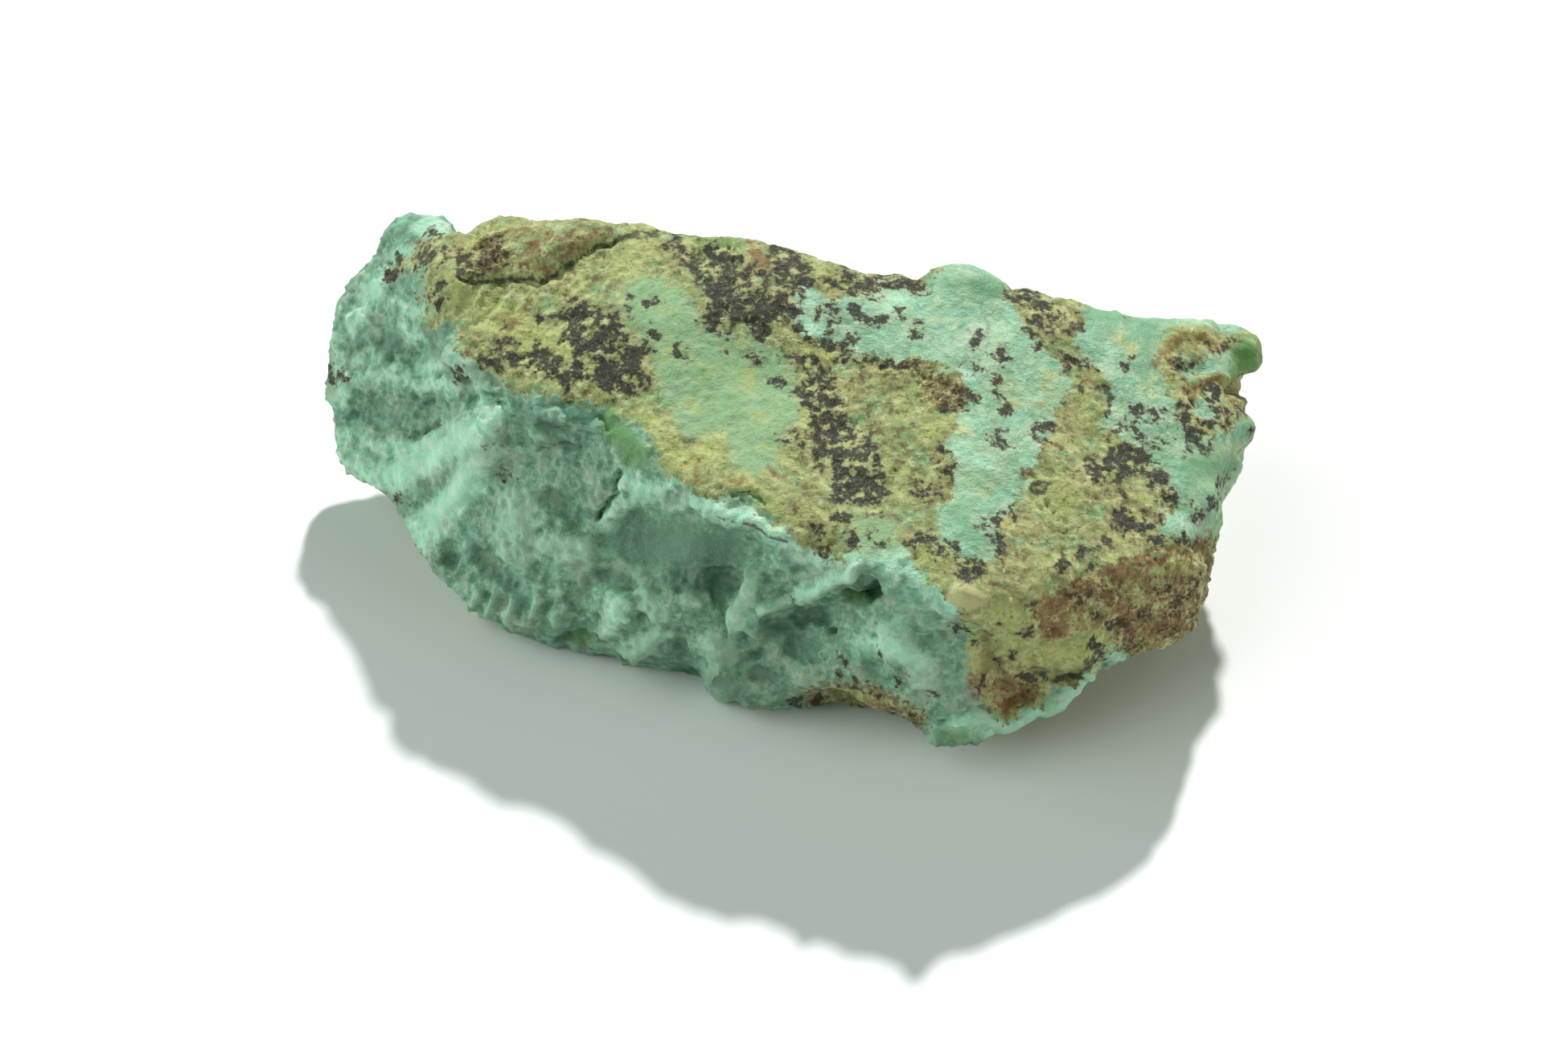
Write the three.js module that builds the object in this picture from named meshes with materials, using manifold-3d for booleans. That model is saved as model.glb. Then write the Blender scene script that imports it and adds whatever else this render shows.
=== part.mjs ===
// A raw chrysoprase: one broken lump of apple-green chalcedony. Its front and left end are fresh mint
// fractures, and a weathered olive crust lies across its top.
// Millimetres, +Z up. The origin is on the resting surface, under the middle of the stone's box.

import * as THREE from "three";
import { ImprovedNoise } from "three/addons/math/ImprovedNoise.js";
import { mergeVertices } from "three/addons/utils/BufferGeometryUtils.js";
import Module from "manifold-3d";

// Driving dimensions: the box that the finished stone fills.
const LENGTH = 51.5;
const WIDTH = 31;
const HEIGHT = 18;

// Facet size: the target spacing of the rings along the stone, and the steps in each band round it.
const RING_SPACING = 1.1;
const BAND_STEPS = { crest: 8, saddle: 11, rim: 4, brow: 6, cheek: 6, belly: 5, toe: 10, heel: 9, back: 10 };
const EDGE_SOFTNESS = 0.28; // 0 gives straight bands with sharp edges, 0.5 fully rounded ones

// Sections across the stone from its left end to its right, as [y, z] on nine ridge lines round it:
// crest, the back edge of the top; saddle, the middle of the top; rim, its front edge; brow, the hollow
// under the rim; cheek, the middle of the front; belly, its lower edge; toe and heel, the front and back
// of the foot; back, the widest line behind.
const SECTIONS = [
  {
    x: -25.4, crest: [13.4, 9.8], saddle: [11.8, 9.6], rim: [10, 8.4], brow: [8.6, 7.6], cheek: [7, 6.2],
    belly: [5.6, 4.2], toe: [7.4, 3.5], heel: [11.2, 4.1], back: [13.6, 6.8],
  },
  {
    x: -22, crest: [14.8, 13], saddle: [13.2, 13.6], rim: [11.2, 13.2], brow: [8.8, 11], cheek: [5.6, 8],
    belly: [1.9, 4.5], toe: [4.4, 3.3], heel: [11, 3.5], back: [15.8, 8.6],
  },
  {
    x: -18, crest: [12.7, 14.2], saddle: [9.4, 15], rim: [3.2, 14.2], brow: [2.4, 11.4], cheek: [0.2, 8],
    belly: [-3.7, 3.3], toe: [-0.8, 1.2], heel: [9.5, 1.4], back: [15, 8],
  },
  {
    x: -15, crest: [11.3, 15.9], saddle: [6.5, 15.8], rim: [0.6, 14], brow: [-0.8, 11.6], cheek: [-3.4, 7.4],
    belly: [-6, 3], toe: [-2.8, -0.4], heel: [8.5, -0.6], back: [14.5, 8.5],
  },
  {
    x: -10, crest: [9.3, 17], saddle: [3.8, 16.2], rim: [-2.2, 14], brow: [-3.6, 11.4], cheek: [-6.2, 7],
    belly: [-7.4, 3], toe: [-4.2, -0.9], heel: [8, -0.9], back: [14, 8.5],
  },
  {
    x: -5, crest: [9, 17.8], saddle: [0.5, 16.2], rim: [-7.8, 13.5], brow: [-8.3, 10.8], cheek: [-9.2, 6.6],
    belly: [-9.6, 2.8], toe: [-6.6, -0.9], heel: [7.5, -0.9], back: [13.5, 8.5],
  },
  {
    x: 0, crest: [7.6, 17.7], saddle: [-1.5, 15.8], rim: [-10.6, 13.1], brow: [-10.2, 10.6],
    cheek: [-11.2, 6.4], belly: [-11.6, 2.9], toe: [-7.2, -0.9], heel: [7, -0.9], back: [13, 8.5],
  },
  {
    x: 5, crest: [6, 17.2], saddle: [-3.5, 15.2], rim: [-13, 12.8], brow: [-12.9, 10.2], cheek: [-13.4, 6.4],
    belly: [-13.3, 3.6], toe: [-7.8, -0.9], heel: [6.5, -0.9], back: [12.5, 8.5],
  },
  {
    x: 10, crest: [6.5, 16.8], saddle: [-3.5, 14.8], rim: [-14.2, 12.4], brow: [-14.6, 9.6],
    cheek: [-14.8, 6], belly: [-14.2, 2.6], toe: [-9.2, -0.8], heel: [6, -0.8], back: [12, 8.5],
  },
  {
    x: 15, crest: [5.9, 15.7], saddle: [-3, 14], rim: [-12.2, 12.2], brow: [-13, 9.4], cheek: [-12.9, 6.6],
    belly: [-11.6, 4.4], toe: [-6.4, 0.4], heel: [5, 0.4], back: [11, 8.5],
  },
  {
    x: 20, crest: [6.2, 13.9], saddle: [-1.8, 13.1], rim: [-9, 11.6], brow: [-10.2, 9.4], cheek: [-10.3, 7.2],
    belly: [-9.8, 4.8], toe: [-4.8, 2.5], heel: [4.5, 2.4], back: [10, 8],
  },
  {
    x: 22.4, crest: [7, 13], saddle: [0.4, 12.4], rim: [-5.4, 11], brow: [-6.6, 9.2], cheek: [-6.9, 7.6],
    belly: [-6.4, 5.8], toe: [-2.6, 4.2], heel: [4.5, 3.8], back: [9.2, 8.2],
  },
  {
    x: 24.3, crest: [7.2, 12.1], saddle: [4, 11.7], rim: [0.7, 10.7], brow: [-0.6, 9.9], cheek: [-1.2, 9],
    belly: [-0.6, 7.8], toe: [1.6, 6.6], heel: [5, 6.4], back: [8.2, 8.8],
  },
];
const LEFT_TIP = [-26.4, 10.2, 7];
const RIGHT_TIP = [25, 3, 9.6];

// Relief on the sections: each form stands out of the surface by height, or goes into it where height is
// negative, fading to nothing at radius from a point or from a line between two points.
const FORMS = [
  { name: "left lobe", at: [-21, 14.4, 13.6], radius: 3, height: 1 },
  { name: "notch beside the lobe", at: [-18, 12.9, 14.4], radius: 1.8, height: -1 },
  { name: "upper scallop", at: [24.9, 1.8, 10.2], radius: 1.5, height: 0.6 },
  { name: "lower scallop", at: [24.4, -1, 9.2], radius: 1.5, height: 0.5 },
  { name: "tan knob", at: [8.7, -14.4, 12.3], radius: 1.4, height: 0.8 },
  { name: "bright rib", at: [-15.8, -0.2, 11.8], to: [-20.6, 1, 5.9], radius: 2.1, height: 1.1 },
  { name: "pocket over the rib", at: [-16.8, 1.8, 12], radius: 1.6, height: -1 },
  { name: "upper left chip", at: [-22.3, 8, 10.2], to: [-18.9, 4.4, 12.4], radius: 2.3, height: -0.3 },
  { name: "edge between the chips", at: [-24.6, 8.4, 7.8], to: [-19.8, 5, 9.8], radius: 1.2, height: 0.3 },
  { name: "lower left chip", at: [-24, 6.4, 6.6], to: [-18.6, 2.4, 10.4], radius: 2, height: -0.3 },
  { name: "scoop", at: [-8, -7.4, 11.2], to: [-2, -10, 10.8], radius: 3.6, height: -1 },
  { name: "grape lump", at: [-5.4, -9.5, 6.8], radius: 1.9, height: 1 },
  { name: "grape hollow", at: [-3.8, -9.6, 8.3], radius: 1.7, height: -1 },
  { name: "left grape", at: [-8.6, -7.6, 5.6], radius: 2.2, height: 0.9 },
  { name: "cheek lump", at: [-12, -5.5, 8.5], radius: 2.6, height: 0.7 },
  { name: "fin", at: [-1.8, -10.6, 9], to: [-2.4, -11.2, 6.4], radius: 1.4, height: 1 },
  { name: "undercut", at: [-0.2, -10.9, 8.3], to: [2, -12, 8.6], radius: 1.7, height: -1.2 },
  { name: "deep hole", at: [3.6, -12.9, 11], radius: 1.6, height: -1.9 },
  { name: "chin", at: [-1.9, -11, 2.2], radius: 2.3, height: 1.9 },
  { name: "gap beside the chin", at: [2.8, -12, 2.4], radius: 2.6, height: -1.8 },
  { name: "right cheek", at: [5.2, -13.6, 7.6], radius: 2.6, height: 0.5 },
  { name: "lip", at: [8, -14.6, 2.7], to: [14.5, -12.4, 4.2], radius: 1.7, height: 1 },
  { name: "hollow over the lip", at: [12, -14.4, 5.6], radius: 1.9, height: -0.7 },
  { name: "top hollow", at: [-3, -1, 16.2], radius: 5, height: -0.5 },
  { name: "top swell", at: [9, -4.5, 15], radius: 6, height: 0.5 },
  { name: "crest gap", at: [4.8, 5.6, 17], radius: 2.2, height: -0.5 },
  { name: "crest dome", at: [9.8, 6.3, 16.9], radius: 2.6, height: 0.7 },
  { name: "back shelf", at: [-16, 14.6, 5.4], to: [7, 12.4, 5], radius: 2.4, height: 0.8 },
  { name: "back hollow", at: [0, 12.6, 10], radius: 4.6, height: -0.9 },
  { name: "back lump", at: [-10, 13.4, 11], radius: 3.6, height: 0.7 },
  { name: "right back hollow", at: [14, 10.6, 9.6], radius: 3.4, height: -0.7 },
];

// A rounded knob that hangs out over the right end.
const KNOB = { at: [24.2, 6.9, 11.2], radii: [1.7, 1.8, 1.4] };

// A raised slab of crust along the back left of the top: the line of its front edge in plan, its height
// and how far it takes to rise.
const SLAB = {
  edge: [[-20.2, 7.6], [-18.7, 6.4], [-17.6, 6.3], [-15.4, 7.3], [-12.4, 7.4], [-10.4, 8.5], [-7, 9.8]],
  height: 0.9,
  rise: 0.6,
};

// Roughness all over, as layers of noise: the size of its bumps and how far they reach.
const GRAIN = [
  { size: 8, height: 0.5 },
  { size: 3.6, height: 0.3 },
];

// Shell-shaped breaks with sharp edges between them, in the same way; the crusted top has fewer.
const BREAKS = [
  { size: 5.2, height: 1.1 },
  { size: 2.6, height: 0.7 },
];
const BREAKS_ON_TOP = 0.35;
const MEAN_BREAK = 0.2; // the middle depth of a break, as a share of its full noise, so that they level out

const UP_FACING = [0.2, 0.7]; // the upward share of a normal where the top begins, and where it is all top

const RIDGES = Object.keys(BAND_STEPS);
const noise = new ImprovedNoise();

// The stone's skin before relief: rings of points from tip to tip, each ring a soft-edged loop
// through the nine ridge lines.
function skinRings() {
  const ridges = RIDGES.map((name) => {
    const points = SECTIONS.map((section) => new THREE.Vector3(section.x, ...section[name]));
    return new THREE.CatmullRomCurve3([
      new THREE.Vector3(...LEFT_TIP),
      ...points,
      new THREE.Vector3(...RIGHT_TIP),
    ]);
  });
  const spans = SECTIONS.length + 1;
  const rings = [];
  for (let span = 0; span < spans; span++) {
    const lengths = ridges.map(({ points }) => points[span].distanceTo(points[span + 1]));
    const meanLength = lengths.reduce((sum, length) => sum + length) / lengths.length;
    const steps = Math.ceil(meanLength / RING_SPACING);
    for (let step = span ? 0 : 1; step < steps; step++)
      rings.push(ringAt(ridges, (span + step / steps) / spans));
  }
  return rings;
}

function ringAt(ridges, along) {
  const corners = ridges.map((ridge) => ridge.getPoint(along));
  const loop = new THREE.CatmullRomCurve3(corners, true, "catmullrom", EDGE_SOFTNESS);
  return RIDGES.flatMap((name, band) => {
    const steps = BAND_STEPS[name];
    return Array.from({ length: steps }, (_, step) => loop.getPoint((band + step / steps) / RIDGES.length));
  });
}

// A four-sided patch as two triangles that meet along its shorter diagonal.
function splitQuad(points, [a, b, c, d]) {
  const shorter = points[a].distanceTo(points[c]) < points[b].distanceTo(points[d]);
  return shorter ? [a, b, c, a, c, d] : [a, b, d, b, c, d];
}

// One closed skin from the rings, with a fan of triangles at each tip.
function skinGeometry(rings) {
  const around = rings[0].length;
  const last = rings.length - 1;
  const leftTip = rings.length * around;
  const rightTip = leftTip + 1;
  const points = [...rings.flat(), new THREE.Vector3(...LEFT_TIP), new THREE.Vector3(...RIGHT_TIP)];
  const triangles = [];
  for (let i = 0; i < around; i++) {
    const next = (i + 1) % around;
    triangles.push(leftTip, next, i);
    triangles.push(rightTip, last * around + i, last * around + next);
    for (let ring = 0; ring < last; ring++) {
      const near = ring * around;
      const far = near + around;
      triangles.push(...splitQuad(points, [near + i, near + next, far + next, far + i]));
    }
  }
  const geometry = new THREE.BufferGeometry().setFromPoints(points);
  geometry.setIndex(triangles);
  geometry.computeVertexNormals();
  return geometry;
}

// How far a form moves the surface at a point.
function formHeight({ at, to, radius, height }, point) {
  const start = new THREE.Vector3(...at);
  const nearest = start.clone();
  if (to) new THREE.Line3(start, new THREE.Vector3(...to)).closestPointToPoint(point, true, nearest);
  const share = Math.min(nearest.distanceTo(point) / radius, 1);
  return height * (1 - share * share) ** 2;
}

// How far the slab stands over the top at a point: it rises behind its edge and falls away at its ends.
function slabHeight(point, normal) {
  const { edge, height, rise } = SLAB;
  const [left, right] = [edge[0][0], edge[edge.length - 1][0]];
  if (point.x <= left || point.x >= right) return 0;
  const next = edge.findIndex(([x]) => x > point.x);
  const [from, to] = [edge[next - 1], edge[next]];
  const edgeY = THREE.MathUtils.mapLinear(point.x, from[0], to[0], from[1], to[1]);
  const inside = Math.min(point.y - edgeY, point.x - left, right - point.x);
  const onTop = THREE.MathUtils.smoothstep(normal.z, ...UP_FACING);
  return height * onTop * THREE.MathUtils.smoothstep(inside, 0, rise);
}

function noiseAt(point, size) {
  return noise.noise(point.x / size, point.y / size, point.z / size);
}

function grainHeight(point, normal) {
  const grain = GRAIN.reduce((sum, { size, height }) => sum + height * noiseAt(point, size), 0);
  const breaks = BREAKS.reduce(
    (sum, { size, height }) => sum + height * (MEAN_BREAK - Math.abs(noiseAt(point, size))),
    0,
  );
  return grain + breaks * THREE.MathUtils.lerp(1, BREAKS_ON_TOP, Math.max(normal.z, 0));
}

// Moves every point of the skin along its normal by the forms, the slab and the grain there.
function addRelief(geometry) {
  const { position, normal } = geometry.attributes;
  const point = new THREE.Vector3();
  const direction = new THREE.Vector3();
  for (let i = 0; i < position.count; i++) {
    point.fromBufferAttribute(position, i);
    direction.fromBufferAttribute(normal, i);
    const forms = FORMS.reduce((sum, form) => sum + formHeight(form, point), 0);
    const height = forms + slabHeight(point, direction) + grainHeight(point, direction);
    point.addScaledVector(direction, height);
    position.setXYZ(i, point.x, point.y, point.z);
  }
  return geometry;
}

// A closed geometry as a solid that can be cut.
function solidOf(wasm, geometry) {
  const bare = new THREE.BufferGeometry().setAttribute("position", geometry.attributes.position);
  if (geometry.index) bare.setIndex(geometry.index);
  const merged = mergeVertices(bare);
  return new wasm.Manifold(
    new wasm.Mesh({
      numProp: 3,
      vertProperties: merged.attributes.position.array,
      triVerts: new Uint32Array(merged.index.array),
    }),
  );
}

function geometryOf(solid) {
  const { vertProperties, triVerts } = solid.getMesh();
  const geometry = new THREE.BufferGeometry();
  geometry.setAttribute("position", new THREE.BufferAttribute(new Float32Array(vertProperties), 3));
  geometry.setIndex(new THREE.BufferAttribute(new Uint32Array(triVerts), 1));
  return geometry;
}

// Adds the knob, and takes off what lies under the foot, so that the stone stands on a flat break.
function joinAndCut(wasm, geometry) {
  const knob = new THREE.SphereGeometry(1, 14, 9).scale(...KNOB.radii).translate(...KNOB.at);
  const below = new THREE.BoxGeometry(2 * LENGTH, 2 * WIDTH, HEIGHT).translate(0, 0, -HEIGHT / 2);
  return geometryOf(solidOf(wasm, geometry).add(solidOf(wasm, knob)).subtract(solidOf(wasm, below)));
}

// Brings the stone to its driving dimensions, standing on the origin's plane over its middle.
function fitToBox(geometry) {
  geometry.computeBoundingBox();
  const { min, max } = geometry.boundingBox;
  const size = new THREE.Vector3().subVectors(max, min);
  geometry.translate(-(min.x + max.x) / 2, -(min.y + max.y) / 2, -min.z);
  geometry.scale(LENGTH / size.x, WIDTH / size.y, HEIGHT / size.z);
  geometry.computeVertexNormals();
  return geometry;
}

const wasm = await Module();
wasm.setup();

const skin = addRelief(skinGeometry(skinRings()));
const stone = new THREE.Mesh(
  fitToBox(joinAndCut(wasm, skin)),
  new THREE.MeshStandardMaterial({ color: 0x8fae8b, roughness: 0.7, metalness: 0 }),
);
stone.name = "stone";

const chrysoprase = new THREE.Group();
chrysoprase.add(stone);

export default chrysoprase;
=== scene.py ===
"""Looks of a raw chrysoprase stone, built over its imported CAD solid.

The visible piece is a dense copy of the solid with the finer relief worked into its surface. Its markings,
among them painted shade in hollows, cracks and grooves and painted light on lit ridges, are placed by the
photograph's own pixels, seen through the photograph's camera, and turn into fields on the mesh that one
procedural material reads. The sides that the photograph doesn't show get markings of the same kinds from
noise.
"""

from math import cos, radians, sin

import bmesh
import bpy
import numpy as np
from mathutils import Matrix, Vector, noise


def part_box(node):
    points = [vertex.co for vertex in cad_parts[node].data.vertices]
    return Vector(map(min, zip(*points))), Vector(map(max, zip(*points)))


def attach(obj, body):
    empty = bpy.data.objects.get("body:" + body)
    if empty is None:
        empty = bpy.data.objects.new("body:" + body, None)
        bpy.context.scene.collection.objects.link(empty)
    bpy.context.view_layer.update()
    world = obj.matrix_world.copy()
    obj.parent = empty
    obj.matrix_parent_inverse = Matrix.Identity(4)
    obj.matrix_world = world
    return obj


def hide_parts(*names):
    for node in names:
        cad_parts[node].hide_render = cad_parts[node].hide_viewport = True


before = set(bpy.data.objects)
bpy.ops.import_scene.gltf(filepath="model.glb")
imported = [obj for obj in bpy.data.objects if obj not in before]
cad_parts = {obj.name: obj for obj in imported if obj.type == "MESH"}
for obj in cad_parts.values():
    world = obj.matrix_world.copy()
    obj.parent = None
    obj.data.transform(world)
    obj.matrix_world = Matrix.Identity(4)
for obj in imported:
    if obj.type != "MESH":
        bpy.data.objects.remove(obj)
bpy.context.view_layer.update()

# Without a seed, the noise vectors differ from run to run
NOISE_SEED = 4
noise.seed_set(NOISE_SEED)

MM = 0.001

# The photograph's camera
PHOTO_WIDTH = 1950
PHOTO_HEIGHT = 1300
LENS = 100.0
SENSOR = 36.0
LOOK_DOWN = radians(42)
AIM = np.array([-0.06, -4.06, 8.17]) * MM
CAMERA_DISTANCE = 231.5 * MM
NEAR_CLIP = 10 * MM
FORWARD = np.array([0.0, cos(LOOK_DOWN), -sin(LOOK_DOWN)])
RIGHT = np.array([1.0, 0.0, 0.0])
UP = np.cross(RIGHT, FORWARD)
CAMERA_PLACE = AIM - FORWARD * CAMERA_DISTANCE
PIXELS_PER_SLOPE = PHOTO_WIDTH / SENSOR * LENS

# The dense mesh
VOXEL = 0.36 * MM
SMOOTHING = 0.5
SMOOTHING_PASSES = 6

# How squarely a point faces the camera where the mesh gets finer, and where markings and relief fade in
FACING_SPLIT = 0.05
MARKING_BLEND = (-0.12, 0.1)
RELIEF_BLEND = (-0.4, -0.05)

# How unevenly strokes are drawn: size in mm and reach in photo pixels of each shift
STROKE_SHIFTS = [(1.6, 8.0), (0.6, 5.0)]

# A field reaches from -1 to 1 over this many photo pixels on either side of its edge
FIELD_REACH = 24.0

# Outline of the weathered crust on the top and the right end
CRUST = [
    (582, 284), (535, 296), (506, 319), (474, 348), (497, 343), (527, 328), (527, 381), (530, 407),
    (556, 404), (571, 431), (585, 451), (615, 469), (640, 488), (700, 490), (749, 512), (799, 528),
    (805, 548), (830, 590), (870, 618), (910, 612), (955, 632), (1000, 682), (1030, 695), (1055, 690),
    (1085, 672), (1126, 674), (1140, 705), (1172, 730), (1186, 760), (1201, 803), (1210, 839),
    (1216, 876), (1244, 896), (1296, 880), (1308, 856), (1346, 844), (1366, 818), (1385, 808),
    (1403, 818), (1445, 812), (1490, 810), (1540, 740), (1520, 660), (1560, 600), (1600, 470),
    (1590, 380), (1500, 370), (1340, 345), (1200, 310), (1000, 300), (800, 262), (620, 250),
]

# Outlines of the fresh mint windows in the crust
MINT_WINDOWS = [
    [
        (990, 372), (1003, 352), (1018, 362), (1030, 378), (1052, 370), (1080, 364), (1108, 356),
        (1140, 366), (1150, 345), (1185, 328), (1215, 322), (1246, 338), (1250, 365), (1270, 396),
        (1278, 420), (1300, 440), (1326, 452), (1326, 490), (1318, 520), (1296, 545), (1285, 580),
        (1268, 606), (1262, 628), (1244, 650), (1236, 688), (1217, 700), (1190, 690), (1172, 668),
        (1166, 640), (1182, 618), (1186, 585), (1180, 556), (1196, 520), (1206, 490), (1196, 464),
        (1170, 452), (1130, 446), (1057, 440), (1034, 430), (1014, 420), (996, 414), (988, 396),
    ],
    [
        (1336, 424), (1350, 392), (1352, 376), (1400, 386), (1470, 392), (1452, 412), (1434, 440),
        (1440, 470), (1458, 502), (1470, 532), (1500, 548), (1545, 522), (1580, 530), (1580, 590),
        (1545, 640), (1512, 668), (1480, 676), (1442, 664), (1440, 645), (1470, 628), (1455, 600),
        (1440, 578), (1424, 560), (1392, 546), (1372, 522), (1386, 496), (1376, 466), (1350, 452),
    ],
    [(860, 618), (905, 628), (960, 650), (1000, 686), (985, 692), (940, 668), (890, 645), (858, 634)],
    [(1476, 452), (1490, 446), (1524, 440), (1536, 452), (1530, 464), (1500, 462), (1478, 466)],
    [(1484, 500), (1500, 494), (1514, 502), (1510, 518), (1494, 518)],
    [(1440, 380), (1500, 380), (1540, 400), (1530, 418), (1500, 404), (1466, 406), (1450, 416)],
]

# Outlines of the smooth pale green skin on the top
PALE_SKIN = [
    [
        (760, 368), (800, 340), (835, 352), (862, 378), (880, 402), (905, 412), (940, 424), (965, 436),
        (990, 455), (1000, 480), (992, 520), (972, 560), (950, 585), (925, 590), (905, 560), (880, 545),
        (850, 540), (830, 505), (818, 470), (812, 440), (800, 415), (775, 392),
    ],
    [(1060, 640), (1090, 640), (1120, 664), (1130, 690), (1075, 690), (1048, 672)],
]

# Outlines of the brown iron stain
RUST_PATCHES = [
    [
        (1291, 757), (1325, 737), (1334, 719), (1370, 719), (1405, 707), (1416, 688), (1457, 686),
        (1501, 672), (1540, 690), (1540, 760), (1480, 820), (1430, 815), (1400, 818), (1379, 790),
        (1340, 786), (1305, 798), (1288, 784),
    ],
    [(1230, 848), (1254, 842), (1292, 848), (1288, 872), (1262, 884), (1234, 882)],
    [(567, 300), (596, 290), (622, 296), (634, 318), (622, 340), (584, 344), (564, 326)],
    [(1128, 456), (1160, 460), (1196, 470), (1196, 500), (1170, 512), (1146, 492)],
    [(1002, 852), (1040, 842), (1090, 852), (1146, 876), (1152, 914), (1110, 914), (1060, 894), (1004, 888)],
]

# In each table of strokes: half width in photo pixels, then the points that it runs through

# Orange-brown flecks and lines
ORANGE_STAINS = [
    (9, (936, 312), (950, 326), (962, 337)), (5, (996, 476), (1000, 480)), (5, (1003, 692)),
    (6, (634, 404), (642, 400)), (5, (1211, 844), (1202, 872)), (5, (1238, 868), (1252, 850)),
    (4, (1499, 647), (1502, 690), (1500, 715)), (4, (1363, 717), (1389, 712), (1410, 705)),
    (4, (1396, 617), (1400, 640)), (5, (867, 576), (866, 599)), (6, (912, 594), (918, 598)),
    (6, (957, 583), (966, 590)), (5, (1060, 870), (1120, 892)), (4, (1462, 505), (1466, 525)),
    (8, (1428, 455), (1446, 438), (1466, 426)), (7, (1466, 424), (1490, 422), (1518, 432)),
    (8, (1478, 484), (1496, 474), (1518, 474)), (6, (1534, 484), (1535, 502)),
    (6, (1290, 752), (1326, 734), (1366, 716), (1410, 702), (1450, 688), (1496, 672)),
    (5, (1344, 478), (1358, 484)), (4, (1250, 500), (1252, 515)), (5, (512, 306), (534, 300)),
    (6, (700, 322), (724, 312)), (13, (1296, 764), (1318, 748)), (11, (1302, 788), (1316, 776)),
    (7, (1345, 732), (1372, 722)), (8, (1396, 716), (1412, 704)), (9, (1395, 760), (1404, 790)),
    (8, (1436, 790), (1470, 770)), (8, (1240, 858), (1270, 848)), (8, (1330, 745), (1360, 728)),
    (5, (1340, 760), (1350, 790)), (5, (1380, 735), (1384, 760)), (5, (1420, 700), (1428, 730)),
    (8, (1222, 846), (1216, 866)), (9, (1244, 876), (1280, 868)), (5, (650, 330), (690, 328)),
    (5, (705, 318), (728, 306)), (4, (660, 300), (690, 296)), (6, (640, 316), (700, 312)),
    (4, (620, 290), (650, 286)), (5, (720, 296), (740, 292)),
]

# Outline of the black stain that hides the crust
BLACK_PATCH = [
    (702, 392), (713, 377), (732, 383), (751, 394), (770, 394), (780, 408), (795, 423), (805, 442),
    (803, 461), (809, 471), (798, 478), (786, 471), (788, 490), (770, 496), (751, 492), (738, 479),
    (734, 463), (744, 448), (726, 438), (705, 427), (698, 433), (700, 415),
]

# Outlines of the areas where black lies in flecks, with the crust showing between them
BLACK_FLECKED = [
    [
        (862, 314), (892, 304), (916, 312), (926, 334), (958, 334), (986, 316), (1006, 328), (1002, 352),
        (990, 372), (988, 400), (962, 400), (950, 422), (936, 412), (916, 398), (896, 408), (876, 398),
        (870, 382), (886, 370), (876, 352), (862, 334),
    ],
    [
        (994, 474), (1008, 460), (1030, 462), (1044, 488), (1050, 506), (1056, 530), (1078, 546),
        (1096, 568), (1108, 600), (1100, 626), (1072, 622), (1050, 628), (1034, 610), (1036, 586),
        (1024, 566), (1010, 548), (976, 552), (972, 538), (1000, 530), (1002, 510), (992, 496),
    ],
    [
        (1346, 574), (1372, 568), (1384, 554), (1424, 560), (1448, 588), (1470, 620), (1458, 632),
        (1440, 618), (1436, 640), (1432, 660), (1390, 660), (1388, 634), (1400, 616), (1392, 600),
        (1372, 598), (1352, 594),
    ],
    [(1254, 354), (1270, 356), (1296, 368), (1320, 382), (1318, 404), (1298, 414), (1278, 410), (1284, 390)],
    [(657, 438), (672, 434), (700, 450), (716, 442), (728, 470), (700, 474), (676, 464), (650, 454)],
    [(600, 440), (614, 424), (640, 440), (652, 456), (622, 460), (602, 456)],
    [(1460, 500), (1476, 500), (1488, 524), (1504, 540), (1490, 556), (1470, 540)],
    [(1026, 350), (1060, 344), (1100, 340), (1130, 346), (1146, 358), (1120, 362), (1080, 364), (1040, 362)],
]

# Depth in photo pixels at which a flecked area stops getting blacker
FLECK_DEPTH = 4.0

# Spots inside the black stains where the crust shows through
CLEAR_SPOTS = [
    (6, (732, 406)), (6, (768, 430), (769, 444)), (5, (1290, 604)), (19, (1410, 608), (1418, 630)),
    (8, (940, 350), (965, 352)),
]

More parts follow.
